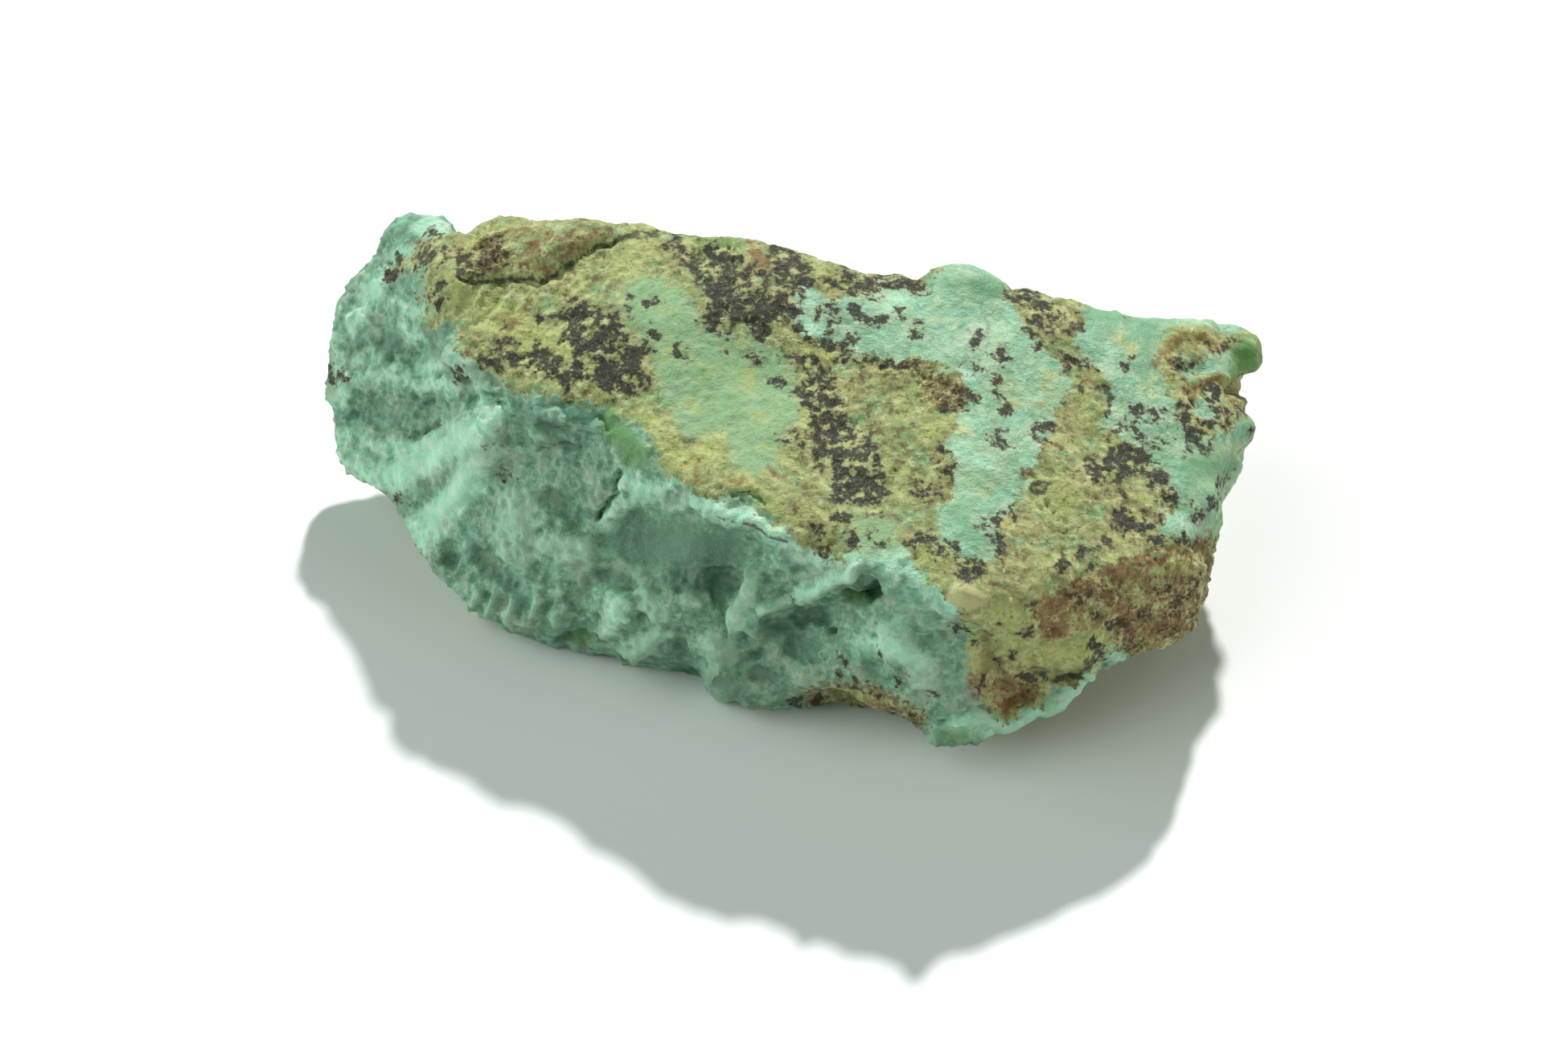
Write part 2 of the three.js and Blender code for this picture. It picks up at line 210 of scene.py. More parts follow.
# Black manganese stains
BLACK_STAINS = [
    # tongue and slab at the left end
    (4, (539, 289), (541, 297)), (5, (531, 308), (525, 326)), (4, (498, 325), (494, 331)),
    (5, (488, 344), (497, 342)), (4, (550, 317), (552, 320)), (9, (570, 318), (578, 332)),
    (7, (588, 337), (600, 320)), (6, (598, 308), (610, 320)), (5, (620, 302), (628, 318)),
    (4, (535, 366), (546, 358), (553, 352)), (4, (537, 376), (549, 368)),
    # around the left patch
    (5, (676, 390), (700, 391)), (4, (709, 437), (717, 452), (724, 467)), (6, (665, 432), (669, 447)),
    (6, (678, 455), (693, 468)), (5, (600, 448), (614, 432)), (5, (626, 447), (645, 450)),
    (5, (625, 418), (630, 424)), (4, (780, 374), (783, 389)), (4, (816, 418), (810, 414)),
    (6, (840, 434), (844, 440)), (3, (815, 372)),
    # crest patch
    (7, (825, 306), (843, 309), (864, 319)), (9, (895, 315), (909, 327)),
    (7, (872, 340), (882, 356), (890, 370)), (6, (876, 385), (886, 384)), (8, (892, 398), (900, 388)),
    (7, (908, 378), (922, 368)), (8, (940, 402), (946, 414)), (11, (930, 374), (956, 388)),
    (9, (962, 372), (982, 362)), (7, (925, 352), (940, 344)), (6, (962, 304), (982, 311)),
    (9, (990, 322), (1002, 330)), (6, (996, 345), (1002, 356)), (5, (880, 322), (900, 338)),
    # middle of the crest and the mint below it
    (6, (1036, 352), (1054, 350)), (5, (1062, 360), (1074, 357)), (6, (1096, 345), (1118, 346)),
    (6, (1126, 352), (1142, 360)), (7, (1034, 388), (1048, 399)),
    (4, (1060, 385), (1074, 396), (1092, 402), (1102, 398)), (5, (1068, 448), (1092, 452), (1128, 452)),
    (3, (1205, 446), (1229, 459), (1242, 465), (1240, 476)),
    (3, (1391, 530), (1417, 534), (1433, 545), (1448, 552)), (5, (1112, 383), (1117, 388)),
    (4, (1014, 381), (1015, 386)), (4, (992, 390), (990, 408), (1000, 420), (1018, 425)),
    (6, (1026, 412), (1029, 432)), (6, (1048, 426), (1058, 424)), (5, (1036, 444), (1068, 447)),
    (6, (978, 441), (996, 450), (1012, 454)), (5, (1144, 412), (1149, 420)), (4, (936, 449), (943, 449)),
    (4, (968, 476), (972, 479)), (3, (902, 427)), (4, (1210, 420), (1214, 425)),
    (6, (1238, 436), (1247, 438)),
    # right of the dome
    (6, (1257, 358), (1266, 372)), (6, (1287, 372), (1293, 386)), (5, (1312, 382), (1318, 388)),
    (5, (1281, 410), (1288, 399), (1303, 396), (1313, 405)), (5, (1336, 398), (1336, 406)),
    (3, (1290, 430), (1298, 424)), (5, (1328, 443), (1340, 452), (1353, 456)),
    # dark column
    (7, (1004, 478), (1022, 466)), (7, (1002, 500), (1020, 507), (1040, 504)),
    (6, (1014, 520), (1024, 537)), (6, (976, 544), (990, 546)), (5, (1044, 520), (1050, 530)),
    (6, (1028, 560), (1026, 574)), (6, (1050, 548), (1056, 560)), (6, (1068, 556), (1078, 552)),
    (11, (1052, 584), (1062, 604)), (12, (1076, 588), (1092, 606)), (6, (1038, 607), (1044, 612)),
    (8, (1012, 556), (1020, 580)), (7, (1090, 572), (1100, 592)), (6, (1060, 568), (1072, 580)),
    (8, (1066, 596), (1072, 608)), (9, (1054, 602), (1086, 610)), (5, (1070, 622), (1092, 635)),
    (4, (1040, 640), (1052, 634)), (5, (1026, 686), (1036, 692)), (5, (1058, 664), (1062, 678)),
    (4, (1040, 648), (1046, 652)), (4, (1084, 668), (1090, 674)), (4, (1020, 656), (1022, 664)),
    # flecks in the mint column
    (6, (1196, 490), (1200, 496)), (5, (1178, 506), (1184, 502)), (6, (1246, 492), (1250, 514)),
    (7, (1240, 538), (1246, 552)), (4, (1292, 530), (1310, 526)), (3, (1286, 546), (1300, 542)),
    (5, (1170, 576), (1186, 584)), (4, (1172, 560), (1176, 552)), (7, (1148, 608), (1156, 614)),
    # around the lowest mint window
    (6, (1138, 668), (1156, 670), (1168, 682)), (6, (1172, 686), (1186, 694)),
    (7, (1194, 712), (1206, 702), (1218, 706)), (7, (1236, 650), (1241, 672), (1234, 690)),
    (4, (1224, 650), (1230, 654)), (4, (1252, 638), (1256, 634)),
    # right end
    (4, (1342, 482), (1346, 486)), (4, (1399, 452), (1404, 452)), (6, (1462, 448), (1473, 460)),
    (5, (1508, 436), (1522, 430)), (7, (1502, 480), (1512, 492)), (6, (1466, 502), (1474, 520)),
    (7, (1480, 532), (1492, 543)), (5, (1504, 524), (1520, 518), (1540, 514)),
    (4, (1414, 512), (1424, 514)), (5, (1438, 516), (1448, 522)), (4, (1553, 536), (1553, 544)),
    (4, (1480, 560), (1498, 556)),
    # large stain near the right end
    (10, (1354, 580), (1368, 588)), (7, (1380, 560), (1392, 558)), (8, (1388, 578), (1402, 582)),
    (9, (1408, 574), (1426, 576)), (9, (1430, 588), (1448, 604), (1464, 624)),
    (6, (1402, 606), (1406, 618)), (8, (1396, 646), (1412, 650), (1428, 646)),
    (6, (1420, 618), (1438, 630)), (4, (1520, 598), (1521, 602)), (5, (1504, 630), (1510, 628)),
    (5, (1487, 644), (1492, 640)), (5, (1433, 671), (1438, 671)), (5, (1470, 677), (1475, 679)),
    (8, (1322, 697), (1338, 690)), (5, (1364, 680), (1370, 677)),
    # rust facet and the low crust
    (5, (1464, 752), (1470, 756)), (5, (1448, 786), (1456, 784)), (5, (1372, 768), (1378, 774)),
    (6, (1400, 780), (1404, 800)), (5, (1340, 741), (1344, 736)), (6, (1360, 806), (1366, 810)),
    (5, (1195, 764), (1190, 784)), (3, (1222, 846), (1216, 866)), (3, (1262, 806), (1258, 818)),
    (4, (1275, 790), (1282, 780)), (3, (1248, 772)), (3, (1232, 790)), (3, (1240, 822)),
    (4, (1284, 758), (1288, 766)), (4, (1270, 836), (1282, 846)), (4, (1196, 772), (1202, 790)),
    (4, (1394, 776), (1398, 792)), (5, (1420, 764), (1424, 780)), (4, (1446, 738), (1460, 732)),
    (4, (1480, 736), (1486, 722)), (4, (1352, 716), (1360, 712)),
    # underside rim and the front
    (5, (948, 894), (954, 892)), (5, (984, 877), (992, 874)), (4, (1014, 872), (1020, 868)),
    (6, (1084, 866), (1092, 870)), (4, (1064, 846), (1070, 850)), (4, (1124, 896), (1132, 900)),
    (3, (1162, 860)), (3, (1050, 815), (1056, 824)), (3, (1066, 842)), (3, (1042, 836), (1046, 848)),
    (3, (1090, 812)), (3, (1120, 846)), (8, (410, 456), (414, 470)), (4, (570, 458), (572, 466)),
    (4, (629, 588), (632, 590)), (4, (500, 618), (502, 626)), (3, (612, 550), (614, 554)),
]

# Dark lines: painted shadow in grooves, cracks and pits, and dark rings in the right crust
DARK_AND_PAINTED_SHADOW_LINES = [
    # painted shadow under the slab's overhang
    (3, (576, 350), (609, 348), (639, 343), (669, 346), (695, 339), (722, 322), (746, 306), (764, 297)),
    (3, (764, 296), (790, 290), (822, 287)),
    # painted shadow in the crack, layer gaps and pits of the front
    (3, (768, 588), (758, 613), (748, 641)), (0.5, (640, 520), (661, 525), (706, 530), (745, 540)),
    (0.5, (648, 548), (671, 555), (723, 553)), (0.5, (660, 505), (716, 495), (750, 512)),
    (2, (908, 615), (930, 618), (952, 629)), (2, (880, 640), (943, 658), (976, 672)),
    (3, (612, 492), (620, 498)), (2, (521, 542), (544, 533)),
    # rings in the right crust
    (3, (1280, 606), (1290, 595), (1300, 602), (1292, 614), (1281, 608)),
    (3, (1357, 490), (1366, 484), (1380, 490), (1383, 501), (1376, 516)),
    # painted shadow in the groove over the lip
    (4, (1286, 836), (1318, 843), (1341, 840), (1362, 812)),
]

# Deep green, where the stone is clear
DEEP_GREEN_STAINS = [
    (26, (1552, 440), (1550, 450)), (18, (756, 524), (774, 545), (788, 564)),
    (7, (840, 296), (880, 300), (922, 306)), (5, (1547, 598), (1542, 610)),
    (4, (1524, 608), (1528, 616)), (5, (1522, 636), (1504, 672)), (8, (1060, 742), (1090, 740)),
    (8, (1172, 912), (1190, 917)), (6, (1300, 878), (1310, 872)), (5, (912, 616), (948, 626)),
    (6, (716, 790), (726, 796)), (5, (875, 462), (884, 476)),
]

# Yellow-green crust
YELLOW_STAINS = [
    (26, (600, 380), (650, 410), (690, 430)), (14, (770, 330), (800, 318)),
    (16, (830, 560), (850, 580), (890, 556)), (10, (806, 500), (812, 530)), (12, (920, 600), (965, 640)),
    (10, (985, 430), (1040, 440)), (12, (1150, 690), (1166, 712)), (16, (1300, 632), (1330, 626)),
    (12, (1318, 800), (1330, 822)), (8, (1340, 470), (1350, 520)), (10, (1150, 540), (1170, 530)),
    (9, (1290, 720), (1300, 740)), (18, (1250, 760), (1268, 790)), (8, (1214, 806), (1222, 836)),
    (17, (1306, 806), (1352, 818)), (9, (1452, 700), (1476, 706)), (9, (1330, 768), (1352, 778)),
    (10, (1270, 822), (1290, 804)), (10, (1362, 792), (1350, 800)), (8, (1376, 760), (1384, 772)),
    (8, (1410, 730), (1418, 742)), (8, (1440, 706), (1452, 716)),
    (10, (1446, 437), (1466, 420), (1500, 418)), (8, (1478, 484), (1500, 473), (1532, 480), (1535, 505)),
    (14, (590, 300), (560, 380)), (7, (1245, 470), (1262, 500)), (7, (1200, 540)), (8, (1014, 386)),
    (6, (1296, 500), (1304, 470)), (7, (1222, 606)), (7, (1392, 420), (1410, 440)), (7, (1430, 480)),
    (6, (1540, 560)), (10, (1040, 862), (1100, 880)),
]

# Deep smooth mint
DEEP_MINT_SPOTS = [
    (14, (1180, 356), (1240, 362)), (18, (1360, 388), (1440, 400)), (16, (1480, 580), (1530, 584)),
    (16, (1190, 640), (1215, 670)), (14, (1372, 412), (1424, 430)), (13, (1440, 562), (1474, 592)),
]

# Grey tone of the scoop, and painted shade in hollows and under overhangs of the front and left facet
GREY_TONE_AND_PAINTED_SHADE_STROKES = [
    (14, (764, 668), (800, 672)), (28, (810, 676), (850, 684), (905, 690)), (8, (868, 712), (900, 722)),
    (14, (664, 522), (722, 540)), (7, (660, 528), (706, 531)), (7, (672, 556), (722, 554)),
    (7, (684, 500), (716, 494), (746, 522)), (8, (745, 716), (778, 722)), (8, (556, 694)),
    (9, (600, 700), (640, 728)), (9, (700, 795), (728, 792)), (8, (842, 812), (858, 836)),
    (9, (985, 800), (1010, 808)), (8, (936, 816), (946, 814)), (8, (1090, 830)), (7, (1037, 782)),
    (11, (478, 436), (500, 420), (550, 410)), (5, (440, 510), (470, 530)), (5, (500, 505), (545, 500)),
    (18, (890, 844), (922, 866)), (20, (960, 782), (1010, 772)), (20, (840, 722), (900, 730)),
    (14, (940, 840), (960, 842)),
]

# Chalky mint, and painted light on lit ribs, ledges and lips, with painted highlights in the mint windows
CHALKY_MINT_AND_PAINTED_LIGHT_SPOTS = [
    (12, (500, 312), (482, 340)), (16, (470, 350), (440, 400)), (10, (500, 380), (530, 388)),
    (8, (436, 474), (470, 462), (500, 472), (540, 456)), (22, (612, 512), (556, 556), (484, 590)),
    (24, (586, 600), (545, 640), (524, 664)), (16, (436, 566), (470, 604)), (8, (420, 420), (424, 500)),
    (9, (446, 446), (470, 450)), (8, (520, 472), (562, 482)), (11, (432, 544), (474, 556), (524, 556)),
    (8, (500, 400), (520, 420)), (10, (775, 596), (800, 612), (840, 600)),
    (10, (862, 624), (943, 646), (1000, 690)), (12, (1010, 694), (1060, 690), (1110, 700)),
    (9, (940, 706), (930, 745), (916, 782)), (7, (945, 758), (1000, 738), (1056, 716)),
    (13, (1190, 904), (1250, 904), (1289, 893), (1312, 876), (1340, 855), (1358, 824)),
    (8, (1372, 806), (1400, 822), (1430, 816)), (8, (772, 592), (762, 626), (752, 648)),
    (12, (1120, 690), (1160, 730), (1180, 760)), (12, (1080, 800), (1150, 820)),
    (10, (770, 748), (764, 785)), (10, (1000, 362), (1012, 392), (1000, 410)),
    (8, (1196, 560), (1230, 580)), (10, (1440, 640), (1470, 650), (1494, 656)),
    (9, (1100, 380), (1130, 372)), (8, (1204, 468)), (8, (1380, 432)), (14, (520, 284), (545, 280)),
]

# Outline of the bare tan lump at the foot of the top
TAN_LUMP = [
    (1178, 730), (1190, 721), (1214, 722), (1232, 732), (1222, 752), (1204, 757), (1184, 754),
    (1176, 744),
]

# Relief by photo pixels: height in mm, half width in pixels, then the points that each runs through
RELIEF = [
    # crack in the front
    (-0.7, 5, (768, 588), (758, 613), (748, 641)),
    (0.35, 16, (778, 606), (805, 618)),
    # thin layers under the front rim
    (-0.3, 6, (661, 525), (706, 530)),
    (-0.3, 6, (671, 555), (723, 553)),
    (-0.25, 6, (680, 502), (716, 495)),
    (-0.25, 6, (716, 516), (749, 525)),
    (0.15, 7, (655, 513), (700, 512), (735, 535)),
    (0.15, 7, (660, 541), (715, 541)),
    (-0.3, 5, (908, 615), (930, 618), (952, 629)),
    (0.3, 7, (880, 634), (943, 651), (976, 666)),
    # edge of the slab
    (-0.3, 5, (575, 350), (609, 348), (639, 343), (669, 347), (695, 340), (722, 323), (746, 307), (764, 298)),
    # scoop in the front and the lip over it
    (-0.35, 46, (800, 672), (840, 684), (900, 690)),
    (0.2, 14, (752, 640), (800, 622), (868, 628), (935, 652)),
    (0.3, 8, (868, 704), (935, 708)),
    # hole and hollow under the rim
    (-0.2, 24, (1050, 722), (1088, 722)),
    (-1.5, 9, (1054, 746), (1072, 743), (1088, 736)),
    (-0.5, 20, (956, 780), (990, 772), (1020, 768)),
    (-0.8, 6, (1037, 782)),
    (0.6, 12, (950, 756), (990, 740), (1030, 725), (1062, 710)),
    (-0.35, 7, (947, 772), (972, 764), (992, 756)),
    # fin and hollows of the front
    (0.75, 12, (938, 706), (930, 745), (915, 784)),
    (-0.45, 26, (850, 718), (900, 726)),
    (-0.5, 20, (744, 720), (778, 724)),
    (-0.5, 22, (985, 800), (1010, 806)),
    (-0.4, 14, (944, 838), (958, 842)),
    (-0.4, 13, (936, 816), (946, 814)),
    # rounded lumps of the front
    (0.6, 22, (866, 744)),
    (0.5, 20, (770, 748), (764, 782)),
    (0.5, 18, (802, 740), (824, 762)),
    (0.5, 20, (788, 808), (822, 792)),
    (-0.5, 14, (796, 772)),
    (0.6, 26, (690, 680), (730, 684)),
    (0.6, 34, (645, 620), (640, 690)),
    (0.6, 30, (890, 800), (900, 850)),
    (-0.6, 24, (842, 812), (862, 838)),
    (-0.5, 22, (690, 620), (720, 650)),
    (-0.5, 20, (600, 690), (640, 725)),
    (0.5, 30, (1110, 790), (1150, 830)),
    (-0.5, 22, (1090, 830)),
    # flutes along the lower front
    (0.3, 8, (592, 742), (584, 758)),
    (0.4, 9, (616, 742), (606, 764)),
    (0.34, 8, (640, 748), (632, 766)),
    (0.4, 10, (672, 748), (660, 770)),
    (0.34, 9, (704, 756), (694, 772)),
    (-0.28, 6, (604, 738), (599, 752)),
    (-0.28, 6, (629, 744), (622, 760)),
    (-0.28, 7, (656, 746), (648, 764)),
    (-0.28, 7, (688, 752), (680, 768)),
    (-0.5, 14, (700, 795), (725, 792)),
    # corner between the left facet and the front
    (0.5, 32, (606, 560), (580, 606), (546, 655)),
    (-0.2, 10, (562, 594), (542, 618), (522, 640)),
    (0.45, 32, (604, 526), (556, 552), (496, 588)),
    (-0.45, 18, (558, 694)),
    # left facet
    (-0.6, 9, (612, 492), (620, 498)),
    (-0.5, 10, (521, 542), (544, 533)),
    (-0.2, 34, (450, 430), (490, 426), (540, 442)),
    (-0.2, 38, (440, 505), (490, 520), (548, 510)),
    (0.4, 18, (560, 430), (600, 480)),
    (0.2, 28, (440, 395)),
    (0.4, 22, (430, 560), (470, 590)),
    (-0.35, 8, (483, 442)),
    (-0.35, 9, (535, 504)),
    (-0.3, 7, (571, 460)),
    (-0.35, 8, (439, 516)),
    (-0.3, 8, (442, 378)),
    (-0.3, 8, (442, 548)),
    (-0.25, 10, (484, 300)),
    # folds of the crust under the slab
    (0.14, 9, (642, 352), (628, 385), (610, 415)),
    (0.14, 9, (668, 358), (655, 390), (640, 424)),
    (-0.15, 6, (655, 356), (641, 388), (626, 420)),
    (-0.15, 6, (628, 356), (614, 385), (598, 408)),
    (0.25, 8, (602, 362), (590, 392)),
    # ring on the right end and rings in the right crust
    (0.25, 9, (1462, 492), (1475, 476), (1500, 468), (1528, 475), (1540, 495)),
    (-0.25, 12, (1486, 500), (1505, 512)),
    (0.2, 5, (1294, 624), (1300, 646), (1320, 656), (1345, 650)),
    (-0.2, 5, (1300, 626), (1312, 642), (1330, 643)),
    # knob and notches of the right end, notches beside the dome on the crest
    (-1.0, 16, (1536, 484), (1560, 480)),
    (0.5, 20, (1552, 432), (1556, 450)),
    (-0.5, 12, (1560, 556), (1545, 566)),
    (-0.5, 18, (1136, 346), (1148, 352)),
    (-0.4, 14, (1254, 344), (1262, 352)),
    (-0.4, 12, (582, 284), (586, 292)),
    # lumps of the right end
    (0.4, 22, (1200, 738)),
    (0.55, 12, (1190, 896), (1250, 896), (1289, 884), (1312, 868), (1340, 848), (1356, 820)),
    (-0.5, 9, (1293, 842), (1340, 844)),
    (-0.4, 20, (1250, 866), (1275, 868)),
    (-0.2, 12, (1470, 460), (1490, 458)),
    (0.3, 16, (1460, 422), (1500, 412)),
    (-0.5, 20, (1222, 800), (1238, 836)),
    (0.4, 20, (1262, 762), (1280, 790)),
    (0.4, 18, (1312, 806), (1340, 812)),
]

# Calm spots, where the grain is worn or glassy
CALM_SPOTS = [
    (26, (770, 664), (800, 666)), (38, (810, 668), (895, 680)), (20, (1050, 722), (1088, 722)),
    (22, (1195, 738), (1212, 738)), (30, (1552, 440)), (18, (606, 556), (580, 600), (550, 645)),
    (18, (590, 535), (556, 556), (510, 588)), (22, (778, 545)), (40, (520, 300)),
    (26, (1190, 345), (1225, 345)), (13, (938, 706), (930, 745), (916, 782)),
    (12, (950, 756), (1000, 738), (1056, 716), (1084, 704)), (11, (866, 626), (915, 642), (980, 670)),
    (14, (1100, 732)), (12, (1010, 694), (1060, 690), (1110, 700), (1160, 730)),
    (10, (590, 748), (640, 756), (700, 764)),
    (14, (1190, 906), (1250, 906), (1290, 894), (1314, 878), (1342, 856), (1360, 826)),
]

# Share of the grain that is lost on the calm spots and on the pale skin
CALM = 0.75
PALE_CALM = 0.5

# Height in mm of the fullest painted highlight on raised parts and deepest painted shade in sunk ones
RAISED_REACH = 0.4

# Size in mm of each pattern of the grain
SWELL_SIZE = 3.4
LUMP_SIZE = 1.3
WRINKLE_SIZE = 1.5
LAYER_SIZE = 0.9
PEBBLE_SIZE = 0.75
SAND_SIZE = 0.4

# Height in mm of each pattern on the fresh broken stone, the worn top, the crust and the rust
FRESH_GRAIN = {"swell": 0.06, "lump": 0.14, "wrinkle": 0.06, "layer": 0.14, "pebble": 0.15, "sand": 0.18}
TOP_GRAIN = {"swell": 0.10, "lump": 0.06, "wrinkle": 0.04, "layer": 0.0, "pebble": 0.03, "sand": 0.045}
CRUST_GRAIN = {"swell": 0.14, "lump": 0.08, "wrinkle": 0.08, "layer": 0.0, "pebble": 0.06, "sand": 0.12}
RUST_GRAIN = {"swell": 0.10, "lump": 0.16, "wrinkle": 0.14, "layer": 0.1, "pebble": 0.12, "sand": 0.24}

# Grain laid over the fresh stone's in turn: the field that places it, the edge it fades across, its heights
GRAIN_LAYERS = [
    ("top", (-0.4, 0.3), TOP_GRAIN),
    ("crust", (-0.3, 0.3), CRUST_GRAIN),
    ("rust", (-0.3, 0.3), RUST_GRAIN),
]

# Edges that the calm spots and the pale skin fade across
CALM_EDGE = (-0.2, 0.4)
PALE_EDGE = (-0.3, 0.3)

# How far one seed's noise lies from the next seed's
CLOUD_SHIFT = Vector((13.7, 7.3, 3.1))
WRINKLE_SHIFT = Vector((4.3, 9.1, 6.7))
PEBBLE_SHIFT = Vector((5.9, 11.3, 2.7))

# Fractal noise: how fast its octaves fade, and how much finer each is than the last
OCTAVE_FADE = 1.0
OCTAVE_STEP = 2.0

# Wrinkles: scale and reach of their bends, scale and share of the finer creases, spread and middle
BEND_SCALE = 0.7
BEND_REACH = 0.8
CREASE_SCALE = 2.1
CREASE_SHARE = 0.5
WRINKLE_SPREAD = 1.6
WRINKLE_MIDDLE = 0.5

# Middle of the pebbles' heights
PEBBLE_MIDDLE = 0.6

# Markings of the unseen sides: the noise's size in mm, octaves and seed, then its values' spread and shift
UNSEEN_MARKINGS = {
    "crust": (7.0, 3, 1, 1.6, 0.1),
    "black": (2.4, 4, 2, 1.5, -0.75),
    "pale": (6.0, 2, 3, 1.5, -0.5),
    "rust": (5.0, 3, 4, 1.6, -0.9),
    "orange": (2.0, 3, 5, 1.5, -1.1),
    "yellow": (3.0, 3, 12, 1.5, -0.6),
    "deep_mint": (5.0, 2, 13, 1.5, -0.6),
    "chalk_and_painted_light": (4.0, 2, 14, 1.5, -0.6),
    "grey_and_painted_shade": (3.5, 2, 17, 1.5, -0.7),
    "deep_green": (4.0, 2, 6, 1.5, -1.1),
    "calm": (6.0, 2, 11, 1.5, -0.7),
}

# Markings that the unseen sides lack, and how far black reaches past the crust there
UNSEEN_ABSENT = ["line", "tan"]
BLACK_PAST_CRUST = 0.3

# Colours of the fresh stone, as the 8-bit screen values of the bare surface
FRESH_DARK = (74, 110, 86)
FRESH_DEEP = (88, 127, 101)
FRESH = (127, 169, 139)
FRESH_PALE = (170, 205, 178)
# Chalky mint, also painted light on lit ribs and lips
CHALKY_MINT_AND_PAINTED_LIGHT = (160, 212, 180)
BLOOM = (154, 166, 144)
# Grey of the scoop, and painted shade in the hollows
GREY_TONE_AND_PAINTED_SHADE = (82, 114, 90)
DEEP_GREEN = (94, 139, 76)

# Colours of the worn mint
WORN_DEEP = (116, 156, 120)
WORN = (142, 182, 144)
WORN_LIGHT = (170, 196, 166)
MINT_DARK = (96, 150, 108)
MINT_BLUE = (124, 180, 152)
MINT_WHITE = (184, 212, 190)

# Colours of the pale skin and the crust
PALE_GREEN = (128, 167, 120)
PALE_LIGHT = (148, 180, 140)
OLIVE = (133, 144, 90)
TAN = (145, 143, 95)
TAN_BARE = (170, 168, 118)
YELLOW_DEEP = (156, 160, 92)
YELLOW = (172, 180, 112)
CREAM = (192, 194, 142)
BROWN = (100, 84, 54)

# Colours of the iron and manganese stains, and the dark lines' painted shadow
RUST_DARK = (72, 56, 36)
RUST = (148, 122, 78)
ORANGE = (122, 82, 50)
HALO = (124, 108, 66)
BLACK = (40, 40, 32)
GREY = (102, 102, 86)
# Painted shadow of the dark lines, and the dark rings in the right crust
DARK_LINE_AND_SHADOW = (46, 48, 34)

# How much the stone is squeezed along, across and up: not at all, into layers, and into fibres
EVEN = (1.0, 1.0, 1.0)
LAYER_SQUEEZE = (0.4, 0.4, 1.5)
FIBRE_SQUEEZE = (1.4, 1.0, 0.4)

# Noise patterns of the material: size in mm, detail and squeeze
PATTERNS = {
    "broad": (2.6, 3, EVEN),
    "patch": (1.3, 4, EVEN),
    "mottle": (0.7, 4, EVEN),
    "grain": (0.34, 3, EVEN),
    "speck": (0.26, 3, EVEN),
    "dust": (0.13, 2, EVEN),
    "layer": (0.5, 3, LAYER_SQUEEZE),
    "fibre": (0.3, 3, FIBRE_SQUEEZE),
}

# How strong each pattern's finer detail is
PATTERN_ROUGHNESS = 0.6

# Most of the noise node's values lie between these two
NOISE_SPREAD = (0.3, 0.7)

# Blended patterns: the shares of mottle and speck
BLENDS = {
    "ragged": (0.55, 0.45),
    "clumps": (0.7, 0.3),
}

